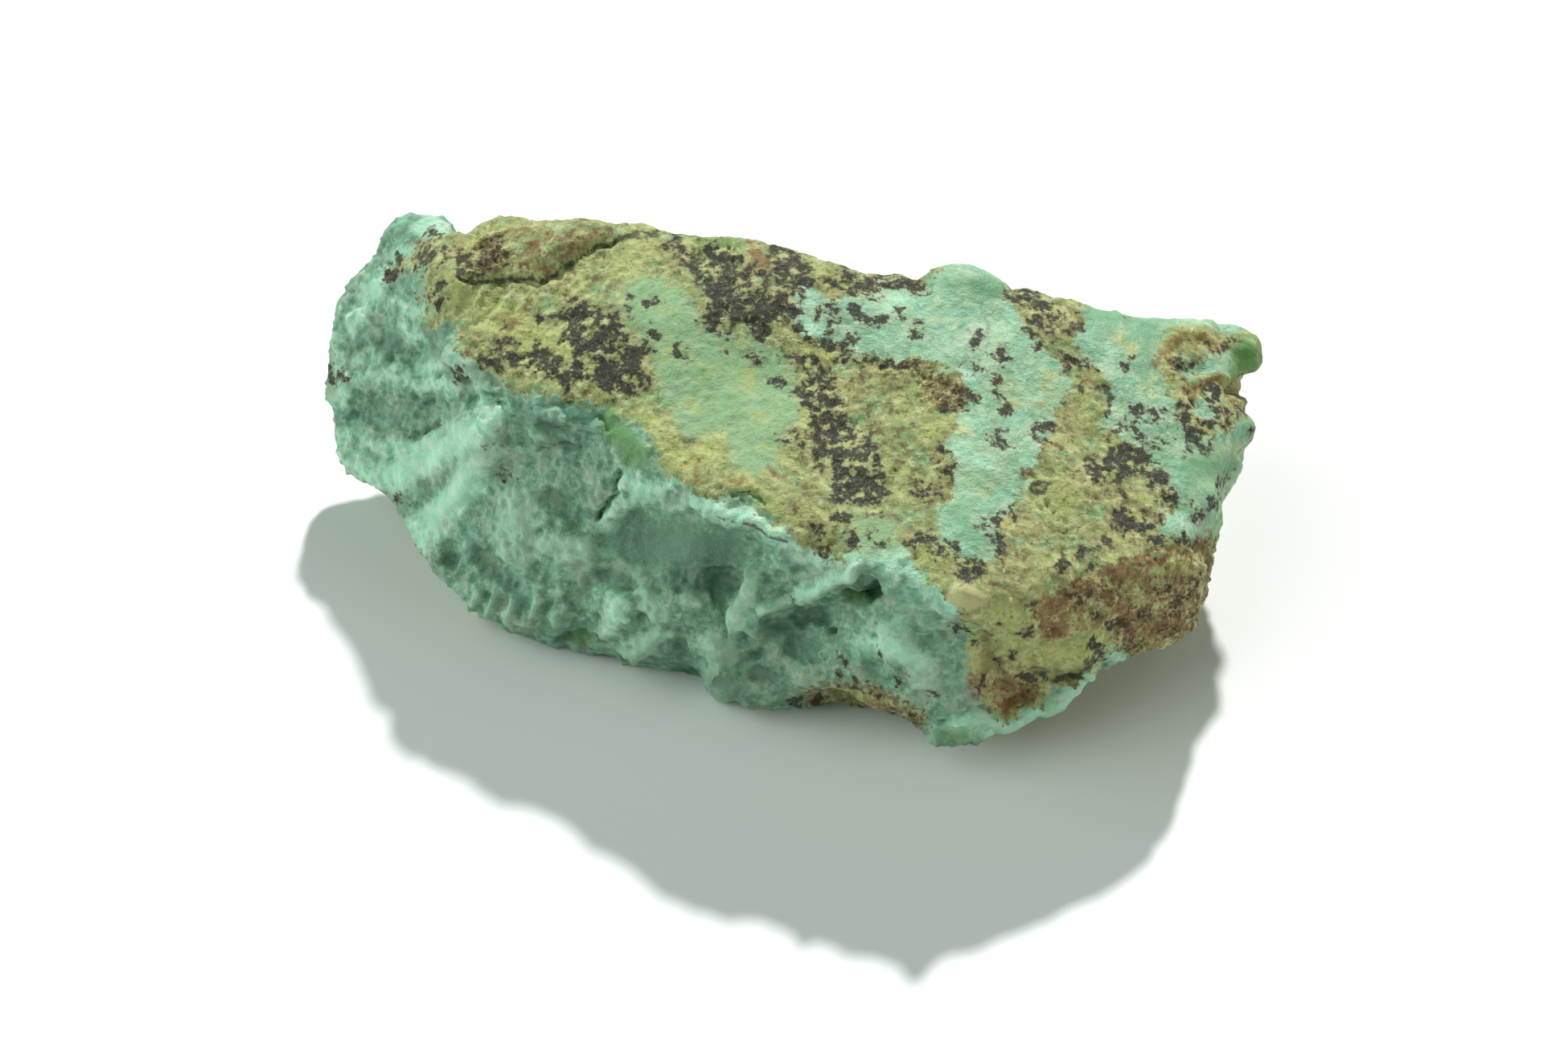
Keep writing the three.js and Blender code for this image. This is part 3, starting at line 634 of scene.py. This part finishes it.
# Surfaces: a base colour, then tints over it. A tint has the pattern that places it, the pattern's values
# where it starts and where it is full, its strength and its colour
SURFACES = {
    "fresh": (FRESH_DEEP, [
        ("mottle", 0.1, 0.9, 1.0, FRESH),
        ("grain", 0.5, 1.0, 0.45, FRESH_PALE),
        ("layer", 0.45, 0.1, 0.5, FRESH_DARK),
        ("speck", 0.6, 0.95, 0.6, FRESH_DARK),
        ("patch", 0.5, 0.85, 0.6, BLOOM),
        ("broad", 0.35, 0.1, 0.4, MINT_BLUE),
        # painted shade in the sunk parts and painted highlight on the raised ones
        ("raised", 0.0, -0.9, 0.35, FRESH_DARK),
        ("raised", 0.1, 0.9, 0.45, FRESH_PALE),
    ]),
    "worn": (WORN_DEEP, [
        ("mottle", 0.2, 0.8, 1.0, WORN),
        ("patch", 0.5, 0.8, 0.8, WORN_LIGHT),
        ("patch", 0.45, 0.15, 0.6, MINT_BLUE),
        ("speck", 0.55, 0.95, 0.5, PALE_GREEN),
        ("grain", 0.6, 0.95, 0.4, MINT_WHITE),
        ("broad", 0.55, 0.8, 0.65, PALE_LIGHT),
    ]),
    "deep_mint": (MINT_DARK, []),
    # grey tone and painted shade of the hollows
    "grey_and_painted_shade": (GREY_TONE_AND_PAINTED_SHADE, []),
    # chalky mint and painted light
    "chalk_and_painted_light": (CHALKY_MINT_AND_PAINTED_LIGHT, [
        ("mottle", 0.4, 0.8, 1.0, MINT_WHITE),
    ]),
    "crust": (OLIVE, [
        ("broad", 0.25, 0.75, 1.0, TAN),
        ("patch", 0.5, 0.8, 0.6, YELLOW),
        ("patch", 0.4, 0.1, 0.8, PALE_GREEN),
        ("mottle", 0.55, 0.9, 0.85, BROWN),
        ("mottle", 0.45, 0.1, 0.6, CREAM),
        ("speck", 0.6, 0.95, 0.7, BROWN),
        ("grain", 0.6, 1.0, 0.6, CREAM),
        # painted shade, darker and browner, in the sunk parts
        ("raised", 0.0, -0.9, 0.4, BROWN),
    ]),
    "pale": (PALE_GREEN, [
        ("mottle", 0.2, 0.8, 1.0, PALE_LIGHT),
        ("patch", 0.6, 0.9, 0.6, YELLOW),
        ("speck", 0.6, 1.0, 0.4, OLIVE),
    ]),
    "rust": (RUST_DARK, [
        ("fibre", 0.2, 0.75, 1.0, RUST),
        ("patch", 0.55, 0.8, 0.7, CREAM),
        ("mottle", 0.5, 0.8, 0.7, OLIVE),
        ("grain", 0.55, 0.85, 0.6, CREAM),
        ("speck", 0.6, 0.85, 0.9, RUST_DARK),
    ]),
    "yellow": (YELLOW_DEEP, [
        ("grain", 0.3, 0.7, 1.0, YELLOW),
        ("mottle", 0.5, 0.85, 0.6, CREAM),
        ("speck", 0.65, 0.95, 0.6, BROWN),
    ]),
    "deep_green": (DEEP_GREEN, [
        ("grain", 0.5, 0.9, 0.6, FRESH_DARK),
    ]),
    "orange": (ORANGE, []),
    "tan": (TAN_BARE, []),
    "halo": (HALO, []),
    # painted shadow of the dark lines
    "line": (DARK_LINE_AND_SHADOW, []),
    "black": (BLACK, [
        ("dust", 0.5, 1.0, 0.7, GREY),
    ]),
}

# Edges of the surfaces over the fresh stone: the field that places each, the pattern that breaks its edge and
# how far, and the field's values where it starts and where it is full
EDGES = {
    "worn": ("top", "mottle", 0.8, -0.3, 0.3),
    "deep_mint": ("deep_mint", "mottle", 0.6, -0.4, 0.7),
    "grey_and_painted_shade": ("grey_and_painted_shade", "ragged", 0.9, -0.5, 0.7),
    "chalk_and_painted_light": ("chalk_and_painted_light", "ragged", 0.8, -0.4, 0.5),
    "crust": ("crust", "ragged", 1.1, -0.12, 0.16),
    "pale": ("pale", "ragged", 1.6, -0.35, 0.35),
    "rust": ("rust", "ragged", 1.4, -0.2, 0.3),
    "yellow": ("yellow", "ragged", 1.6, -0.3, 0.4),
    "deep_green": ("deep_green", "ragged", 0.9, -0.35, 0.6),
    "orange": ("orange", "ragged", 0.8, -0.15, 0.3),
    "tan": ("tan", "grain", 0.2, -0.1, 0.1),
    "halo": ("black", "clumps", 1.6, -0.4, 0.1),
    "line": ("line", "ragged", 0.2, -0.06, 0.08),
    "black": ("black", "clumps", 1.6, -0.12, 0.18),
}

# Strength of each surface, in the order that they are laid over the fresh stone
STRENGTHS = {
    "worn": 1.0, "deep_mint": 0.75, "grey_and_painted_shade": 0.7, "chalk_and_painted_light": 0.85, "crust": 1.0, "pale": 0.85,
    "rust": 0.9, "yellow": 0.8, "deep_green": 0.9, "orange": 0.7, "tan": 1.0, "halo": 0.4,
    "line": 0.85, "black": 1.0,
}

# Gaps in the black: the grain's values where they start and are full, then black's share outside and inside
BLACK_GAPS = (0.7, 0.85, 0.95, 0.35)

# Strength of the rust's colour in the black that lies on it
RUSTY_BLACK = 0.6

# Roughness of the mint and of the crust, and the height of the finest grain
MINT_ROUGHNESS = 0.62
CRUST_ROUGHNESS = 0.88
BUMP_STRENGTH = 0.5
BUMP_HEIGHT = 0.08 * MM
DUST_SHARE = 0.5

# Light: the direction of each lamp, its strength, how wide it looks and its colour
WORLD_COLOUR = (0.045, 0.054, 0.045)
LAMPS = {
    "key": (Vector((0.2, 1.1, 1.0)), 4.05, radians(3), (1.0, 1.0, 1.0)),
    "ceiling": (Vector((0.1, 0.1, 1.0)), 0.35, radians(110), (0.88, 1.0, 0.90)),
    "left_fill": (Vector((-1.0, 0.05, 0.1)), 2.3, radians(54), (0.86, 1.0, 0.96)),
    "window": (Vector((-0.6, -0.4, 0.7)), 0.95, radians(50), (0.88, 1.0, 0.94)),
    "right_fill": (Vector((0.9, -0.45, 0.3)), 0.9, radians(40), (1.0, 0.98, 0.92)),
}

# The floor, its size in metres
FLOOR_COLOUR = (0.8, 0.8, 0.8)
FLOOR_ROUGHNESS = 0.9
FLOOR_SIZE = 2.0


def photo_pixels(points):
    """Where points fall in the photograph."""
    offset = points - CAMERA_PLACE
    depth = offset @ FORWARD
    across = PHOTO_WIDTH / 2 + PIXELS_PER_SLOPE * (offset @ RIGHT) / depth
    down = PHOTO_HEIGHT / 2 - PIXELS_PER_SLOPE * (offset @ UP) / depth
    return np.stack([across, down], axis=1)


def uneven_pixels(points):
    """Where points fall in the photograph, shifted a little by noise so that strokes come out uneven."""
    pixels = photo_pixels(points)
    for size, shift in STROKE_SHIFTS:
        scale = 1 / (size * MM)
        shifts = [noise.noise_vector(Vector(point) * scale) for point in points]
        pixels += np.array(shifts)[:, :2] * shift
    return pixels


def smooth_step(value, low, high):
    """0 below low, 1 above high, and an even rise between them."""
    share = np.clip((value - low) / (high - low), 0, 1)
    return share * share * (3 - 2 * share)


def distance_to_path(pixels, path):
    """Distance in pixels from each pixel to a path of straight pieces, or to a single point."""
    points = np.array(path, float)
    if len(points) == 1:
        return np.linalg.norm(pixels - points[0], axis=1)
    nearest = np.full(len(pixels), np.inf)
    for start, end in zip(points[:-1], points[1:]):
        along = end - start
        share = np.clip((pixels - start) @ along / (along @ along), 0, 1)
        nearest = np.minimum(nearest, np.linalg.norm(pixels - start - share[:, None] * along, axis=1))
    return nearest


def stroke_field(pixels, strokes):
    """How deep each pixel lies inside the nearest stroke, in pixels; less than 0 outside."""
    field = np.full(len(pixels), -np.inf)
    for half_width, *path in strokes:
        field = np.maximum(field, half_width - distance_to_path(pixels, path))
    return field


def outline_field(pixels, outline):
    """How deep each pixel lies inside a closed outline, in pixels; less than 0 outside."""
    corners = np.array(outline, float)
    inside = np.zeros(len(pixels), bool)
    for start, end in zip(corners, np.roll(corners, -1, axis=0)):
        if start[1] == end[1]:
            continue
        crosses = (start[1] > pixels[:, 1]) != (end[1] > pixels[:, 1])
        at = start[0] + (pixels[:, 1] - start[1]) * (end[0] - start[0]) / (end[1] - start[1])
        inside ^= crosses & (pixels[:, 0] < at)
    edge = distance_to_path(pixels, outline + outline[:1])
    return np.where(inside, edge, -edge)


def outlines_field(pixels, outlines):
    """The deepest of several outlines' fields."""
    return np.max([outline_field(pixels, outline) for outline in outlines], axis=0)


def cloud(points, size, octaves, seed):
    """Fractal noise about 0 at each point, with lumps about size mm across."""
    offset = CLOUD_SHIFT * seed
    scale = 1 / (size * MM)
    places = [Vector(point) * scale + offset for point in points]
    return np.array([noise.fractal(place, OCTAVE_FADE, OCTAVE_STEP, octaves) for place in places])


def wrinkles(points, size, seed):
    """Bent creases about size mm apart, from about -0.5 in the creases to 0.5 on the folds between them."""
    offset = WRINKLE_SHIFT * seed
    scale = 1 / (size * MM)
    heights = []
    for point in points:
        place = Vector(point) * scale + offset
        bent = place + noise.noise_vector(place * BEND_SCALE) * BEND_REACH
        heights.append(abs(noise.noise(bent)) + CREASE_SHARE * abs(noise.noise(bent * CREASE_SCALE)))
    return np.array(heights) * WRINKLE_SPREAD - WRINKLE_MIDDLE


def pebbles(points, size, seed):
    """Rounded lumps about size mm across, from 0 in the gaps to 1 on their tops."""
    offset = PEBBLE_SHIFT * seed
    scale = 1 / (size * MM)
    nearest = np.array([noise.voronoi(Vector(p) * scale + offset)[0][0] for p in points])
    return 1 - np.clip(nearest, 0, 1) ** 2


def mesh_points(mesh):
    """The mesh's points as an array."""
    points = np.empty(len(mesh.vertices) * 3)
    mesh.vertices.foreach_get("co", points)
    return points.reshape(-1, 3)


def mesh_normals(mesh):
    """The mesh's point normals as an array."""
    normals = np.empty(len(mesh.vertices) * 3)
    mesh.vertex_normals.foreach_get("vector", normals)
    return normals.reshape(-1, 3)


def facing_camera(points, normals):
    """How squarely each point faces the photograph's camera: 1 straight on, 0 edge on, less turned away."""
    toward = CAMERA_PLACE - points
    toward /= np.linalg.norm(toward, axis=1)[:, None]
    return np.sum(normals * toward, axis=1)


def dense_copy(node):
    """A new object with the node's shape in an even, smoothed mesh, finer where the photograph sees it."""
    copy = bpy.data.objects.new("stone_body", node.data.copy())
    bpy.context.scene.collection.objects.link(copy)
    remesh = copy.modifiers.new("even mesh", "REMESH")
    remesh.mode = "VOXEL"
    remesh.voxel_size = VOXEL
    smooth = copy.modifiers.new("soft facets", "SMOOTH")
    smooth.factor = SMOOTHING
    smooth.iterations = SMOOTHING_PASSES
    shaped = copy.evaluated_get(bpy.context.evaluated_depsgraph_get())
    mesh = bpy.data.meshes.new_from_object(shaped)
    copy.modifiers.clear()
    copy.data = mesh
    mesh.name = "stone_body"
    mesh.materials.clear()
    refine_seen_side(mesh)
    return copy


def refine_seen_side(mesh):
    """Halves the mesh's edges on the side that the photograph shows."""
    facing = facing_camera(mesh_points(mesh), mesh_normals(mesh))
    work = bmesh.new()
    work.from_mesh(mesh)
    seen = [
        edge for edge in work.edges
        if min(facing[edge.verts[0].index], facing[edge.verts[1].index]) > FACING_SPLIT
    ]
    bmesh.ops.subdivide_edges(work, edges=seen, cuts=1, use_grid_fill=True)
    bmesh.ops.triangulate(work, faces=work.faces[:])
    work.to_mesh(mesh)
    work.free()
    mesh.shade_smooth()


def black_field(pixels):
    """How deep each pixel lies in a black stain, in pixels; less than 0 outside and in the clear spots."""
    flecked = np.minimum(outlines_field(pixels, BLACK_FLECKED), FLECK_DEPTH)
    stained = np.maximum(outline_field(pixels, BLACK_PATCH), stroke_field(pixels, BLACK_STAINS))
    return np.minimum(np.maximum(flecked, stained), -stroke_field(pixels, CLEAR_SPOTS))


def seen_fields(pixels):
    """The markings that the photograph shows, as fields from -1 to 1."""
    top = outline_field(pixels, CRUST)
    fields = {
        "top": top,
        "crust": np.minimum(top, -outlines_field(pixels, MINT_WINDOWS)),
        "pale": outlines_field(pixels, PALE_SKIN),
        "rust": outlines_field(pixels, RUST_PATCHES),
        "orange": stroke_field(pixels, ORANGE_STAINS),
        "yellow": stroke_field(pixels, YELLOW_STAINS),
        "black": black_field(pixels),
        "line": stroke_field(pixels, DARK_AND_PAINTED_SHADOW_LINES),
        "deep_mint": stroke_field(pixels, DEEP_MINT_SPOTS),
        "chalk_and_painted_light": stroke_field(pixels, CHALKY_MINT_AND_PAINTED_LIGHT_SPOTS),
        "grey_and_painted_shade": stroke_field(pixels, GREY_TONE_AND_PAINTED_SHADE_STROKES),
        "deep_green": stroke_field(pixels, DEEP_GREEN_STAINS),
        "tan": outline_field(pixels, TAN_LUMP),
        "calm": stroke_field(pixels, CALM_SPOTS),
    }
    return {name: np.clip(field / FIELD_REACH, -1, 1) for name, field in fields.items()}


def unseen_fields(points):
    """Markings of the same kinds for the sides that the photograph doesn't show."""
    fields = {}
    for name, (size, octaves, seed, spread, shift) in UNSEEN_MARKINGS.items():
        fields[name] = cloud(points, size, octaves, seed) * spread + shift
    for name in UNSEEN_ABSENT:
        fields[name] = np.full(len(points), -1.0)
    fields["top"] = fields["crust"]
    fields["black"] = np.minimum(fields["black"], fields["crust"] + BLACK_PAST_CRUST)
    return {name: np.clip(field, -1, 1) for name, field in fields.items()}


def markings(points, normals):
    """Every marking's field at each point: by the photograph where it sees the point, by noise elsewhere."""
    seen_share = smooth_step(facing_camera(points, normals), *MARKING_BLEND)
    seen = seen_fields(uneven_pixels(points))
    unseen = unseen_fields(points)
    return {name: seen_share * seen[name] + (1 - seen_share) * unseen[name] for name in seen}


def relief_height(points, normals):
    """Height in mm of the modelled lumps, grooves and holes that the photograph shows."""
    pixels = uneven_pixels(points)
    seen_share = smooth_step(facing_camera(points, normals), *RELIEF_BLEND)
    height = np.zeros(len(points))
    for peak, half_width, *path in RELIEF:
        share = np.clip(1 - (distance_to_path(pixels, path) / half_width) ** 2, 0, 1)
        height += peak * share * share
    return height * seen_share


def grain_patterns(points):
    """The patterns of the stone's grain, each about 0 on average."""
    return {
        "swell": cloud(points, SWELL_SIZE, octaves=2, seed=7),
        "lump": cloud(points, LUMP_SIZE, octaves=3, seed=15),
        "wrinkle": wrinkles(points, WRINKLE_SIZE, seed=8),
        "layer": cloud(points * LAYER_SQUEEZE, LAYER_SIZE, octaves=3, seed=16),
        "pebble": pebbles(points, PEBBLE_SIZE, seed=9) - PEBBLE_MIDDLE,
        "sand": cloud(points, SAND_SIZE, octaves=2, seed=10),
    }


def grain_height(points, fields):
    """Height in mm of the stone's own grain, by the kind of surface."""
    height = np.zeros(len(points))
    for name, pattern in grain_patterns(points).items():
        depth = np.full(len(points), FRESH_GRAIN[name])
        for field, edge, grain in GRAIN_LAYERS:
            depth += (grain[name] - depth) * smooth_step(fields[field], *edge)
        height += depth * pattern
    height *= 1 - PALE_CALM * smooth_step(fields["pale"], *PALE_EDGE)
    return height * (1 - CALM * smooth_step(fields["calm"], *CALM_EDGE))


def store_field(mesh, name, field):
    """Keeps one value per point on the mesh, under a name that the material can read."""
    attribute = mesh.attributes.new(name, "FLOAT", "POINT")
    attribute.data.foreach_set("value", field.astype(np.float32))


def work_surface(stone):
    """Moves the mesh's points out and in by the relief and the grain."""
    mesh = stone.data
    points = mesh_points(mesh)
    normals = mesh_normals(mesh)
    height = relief_height(points, normals) + grain_height(points, markings(points, normals))
    store_field(mesh, "raised", np.clip(height / RAISED_REACH, -1, 1))
    points += normals * height[:, None] * MM
    points[:, 2] = np.maximum(points[:, 2], cad_floor())
    mesh.vertices.foreach_set("co", points.ravel())
    mesh.update()


def cad_floor():
    """Height of the CAD solid's flat foot."""
    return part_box("stone")[0].z


def paint_fields(stone):
    """Stores each marking's field on the mesh for the material to read."""
    mesh = stone.data
    points = mesh_points(mesh)
    for name, field in markings(points, mesh_normals(mesh)).items():
        store_field(mesh, name, field)


def linear(colour):
    """An 8-bit screen colour as a linear colour with full alpha."""
    shares = [value / 255 for value in colour]
    return [s / 12.92 if s <= 0.04045 else ((s + 0.055) / 1.055) ** 2.4 for s in shares] + [1.0]


class Shader:
    """Short calls that build one material's nodes."""

    def __init__(self, name):
        self.material = bpy.data.materials.new(name)
        self.material.use_nodes = True
        self.tree = self.material.node_tree
        self.surface = self.tree.nodes["Principled BSDF"]
        self.place = self.tree.nodes.new("ShaderNodeTexCoord").outputs["Object"]

    def set(self, socket, value):
        """Links a socket to another node's output, or sets it to a plain value."""
        if isinstance(value, bpy.types.NodeSocket):
            self.tree.links.new(value, socket)
        else:
            socket.default_value = value

    def field(self, name):
        """One of the mesh's stored fields."""
        node = self.tree.nodes.new("ShaderNodeAttribute")
        node.attribute_name = name
        return node.outputs["Fac"]

    def squeezed_place(self, squeeze):
        """The place on the stone, squeezed along each axis."""
        node = self.tree.nodes.new("ShaderNodeVectorMath")
        node.operation = "MULTIPLY"
        self.set(node.inputs[0], self.place)
        self.set(node.inputs[1], squeeze)
        return node.outputs["Vector"]

    def noise(self, size, detail, squeeze):
        """Noise spread from 0 to 1 with lumps about size mm across."""
        node = self.tree.nodes.new("ShaderNodeTexNoise")
        node.inputs["Scale"].default_value = 1 / (size * MM)
        node.inputs["Detail"].default_value = detail
        node.inputs["Roughness"].default_value = PATTERN_ROUGHNESS
        self.set(node.inputs["Vector"], self.squeezed_place(squeeze))
        return self.step(node.outputs["Fac"], *NOISE_SPREAD, smooth=False)

    def maths(self, operation, first, second):
        """A sum, product or the like of two values."""
        node = self.tree.nodes.new("ShaderNodeMath")
        node.operation = operation
        self.set(node.inputs[0], first)
        self.set(node.inputs[1], second)
        return node.outputs[0]

    def step(self, value, low, high, start=0.0, end=1.0, smooth=True):
        """Start below low, end above high, and an even rise between them."""
        node = self.tree.nodes.new("ShaderNodeMapRange")
        node.interpolation_type = "SMOOTHSTEP" if smooth else "LINEAR"
        self.set(node.inputs["Value"], value)
        node.inputs["From Min"].default_value = low
        node.inputs["From Max"].default_value = high
        node.inputs["To Min"].default_value = start
        node.inputs["To Max"].default_value = end
        return node.outputs["Result"]

    def mix(self, share, first, second):
        """The first colour turning into the second by share."""
        node = self.tree.nodes.new("ShaderNodeMix")
        node.data_type = "RGBA"
        self.set(node.inputs["Factor"], share)
        colours = [socket for socket in node.inputs if socket.type == "RGBA"]
        self.set(colours[0], first)
        self.set(colours[1], second)
        return next(socket for socket in node.outputs if socket.type == "RGBA")

    def broken_edge(self, name, wobble, reach, low, high):
        """A field's share from 0 to 1, with its edge broken up by noise."""
        shift = self.maths("MULTIPLY", self.maths("SUBTRACT", wobble, 0.5), reach)
        return self.step(self.maths("ADD", self.field(name), shift), low, high)


def stone_patterns(shader):
    """The patterns that place the tints and break the edges, by name."""
    patterns = {name: shader.noise(*pattern) for name, pattern in PATTERNS.items()}
    for name, (mottle_share, speck_share) in BLENDS.items():
        mottle = shader.maths("MULTIPLY", patterns["mottle"], mottle_share)
        speck = shader.maths("MULTIPLY", patterns["speck"], speck_share)
        patterns[name] = shader.maths("ADD", mottle, speck)
    patterns["raised"] = shader.field("raised")
    return patterns


def surface_shares(shader, patterns):
    """How much of each surface shows at each place, from 0 to 1, by name."""
    shares = {}
    for name, (field, pattern, shift, low, high) in EDGES.items():
        shares[name] = shader.broken_edge(field, patterns[pattern], shift, low, high)
    gaps = shader.step(patterns["grain"], *BLACK_GAPS)
    shares["black"] = shader.maths("MULTIPLY", shares["black"], gaps)
    return shares


def surface_colour(shader, patterns, name):
    """A surface's base colour under its tints."""
    base, tints = SURFACES[name]
    colour = linear(base)
    for pattern, low, high, strength, tint in tints:
        share = shader.step(patterns[pattern], low, high, 0.0, strength)
        colour = shader.mix(share, colour, linear(tint))
    return colour


def stone_colour(shader, patterns, shares):
    """The fresh stone's colour with every other surface laid over it in turn."""
    colours = {name: surface_colour(shader, patterns, name) for name in SURFACES}
    rusty_share = shader.maths("MULTIPLY", shares["rust"], RUSTY_BLACK)
    colours["black"] = shader.mix(rusty_share, colours["black"], linear(RUST_DARK))
    colour = colours["fresh"]
    for name, strength in STRENGTHS.items():
        share = shader.maths("MULTIPLY", shares[name], strength)
        colour = shader.mix(share, colour, colours[name])
    return colour


def fine_bump(shader, patterns):
    """The normal of the finest grain, too small for the mesh."""
    bump = shader.tree.nodes.new("ShaderNodeBump")
    bump.inputs["Strength"].default_value = BUMP_STRENGTH
    bump.inputs["Distance"].default_value = BUMP_HEIGHT
    dust = shader.maths("MULTIPLY", patterns["dust"], DUST_SHARE)
    shader.set(bump.inputs["Height"], shader.maths("ADD", patterns["grain"], dust))
    return bump.outputs["Normal"]


def stone_material():
    """Weathered mint chrysoprase, olive crust, iron and manganese stains, and painted shade and light."""
    shader = Shader("weathered_chrysoprase")
    patterns = stone_patterns(shader)
    shares = surface_shares(shader, patterns)
    dull_share = shader.maths("ADD", shares["crust"], shares["black"])
    roughness = shader.step(dull_share, 0.0, 1.0, MINT_ROUGHNESS, CRUST_ROUGHNESS)
    shader.set(shader.surface.inputs["Base Color"], stone_colour(shader, patterns, shares))
    shader.set(shader.surface.inputs["Roughness"], roughness)
    shader.set(shader.surface.inputs["Normal"], fine_bump(shader, patterns))
    return shader.material


def make_stone():
    """The visible stone, in place of the CAD solid."""
    stone = dense_copy(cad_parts["stone"])
    work_surface(stone)
    paint_fields(stone)
    stone.data.materials.append(stone_material())
    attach(stone, "root")
    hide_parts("stone")


def make_floor():
    """A plain white floor under the stone."""
    bpy.ops.mesh.primitive_plane_add(size=FLOOR_SIZE, location=(0, 0, cad_floor()))
    floor = bpy.context.object
    floor.name = "floor"
    shader = Shader("white_table")
    shader.set(shader.surface.inputs["Base Color"], [*FLOOR_COLOUR, 1.0])
    shader.set(shader.surface.inputs["Roughness"], FLOOR_ROUGHNESS)
    floor.data.materials.append(shader.material)


def make_lamp(name, toward, strength, angle, colour):
    """A far light that stands in the direction toward."""
    light = bpy.data.lights.new(name, "SUN")
    light.energy = strength
    light.angle = angle
    light.color = colour
    lamp = bpy.data.objects.new(name, light)
    lamp.rotation_euler = toward.to_track_quat("Z", "Y").to_euler()
    bpy.context.scene.collection.objects.link(lamp)


def make_light():
    """A key light from behind, soft light from above and both sides, a window, and a little all round."""
    for name, lamp in LAMPS.items():
        make_lamp(name, *lamp)
    world = bpy.data.worlds.new("studio")
    world.use_nodes = True
    world.node_tree.nodes["Background"].inputs["Color"].default_value = [*WORLD_COLOUR, 1.0]
    bpy.context.scene.world = world
    bpy.context.scene.view_settings.view_transform = "Standard"


def make_camera():
    """The photograph's camera."""
    lens = bpy.data.cameras.new("camera")
    lens.lens = LENS
    lens.sensor_width = SENSOR
    lens.clip_start = NEAR_CLIP
    camera = bpy.data.objects.new("camera", lens)
    camera.location = CAMERA_PLACE
    camera.rotation_euler = (radians(90) - LOOK_DOWN, 0, 0)
    bpy.context.scene.collection.objects.link(camera)
    bpy.context.scene.camera = camera


make_camera()
make_stone()
make_floor()
make_light()
